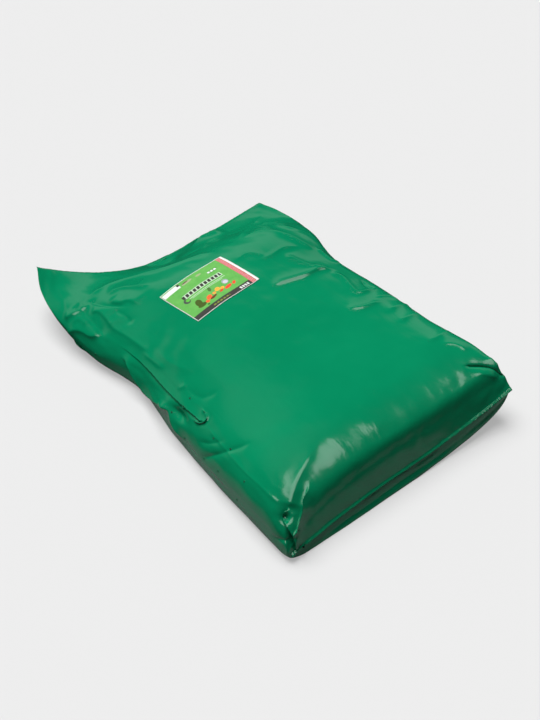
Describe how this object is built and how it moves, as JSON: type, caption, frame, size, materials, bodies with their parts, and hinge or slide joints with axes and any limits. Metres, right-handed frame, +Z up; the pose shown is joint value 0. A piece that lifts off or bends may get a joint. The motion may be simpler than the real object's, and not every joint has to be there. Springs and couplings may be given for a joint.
{
  "type": "compost bag",
  "caption": "Filled side-gusseted film sack of compost lying on its back, heat-sealed at both ends, with a printed sticker on its front.",
  "frame": {"origin": "middle of the footprint's bounding box, on the floor under the sack", "axes": "+Z up through the front panel that carries the sticker, +Y along the sack from its bottom seal to its top seal, +X across it"},
  "size_m": [0.5016, 0.7718, 0.1234],
  "materials": {
    "film": "glossy green polyethylene film",
    "sticker": "printed self-adhesive film"
  },
  "bodies": {
    "root": {"filled_sack": "film", "label": "sticker"}
  },
  "joints": []
}
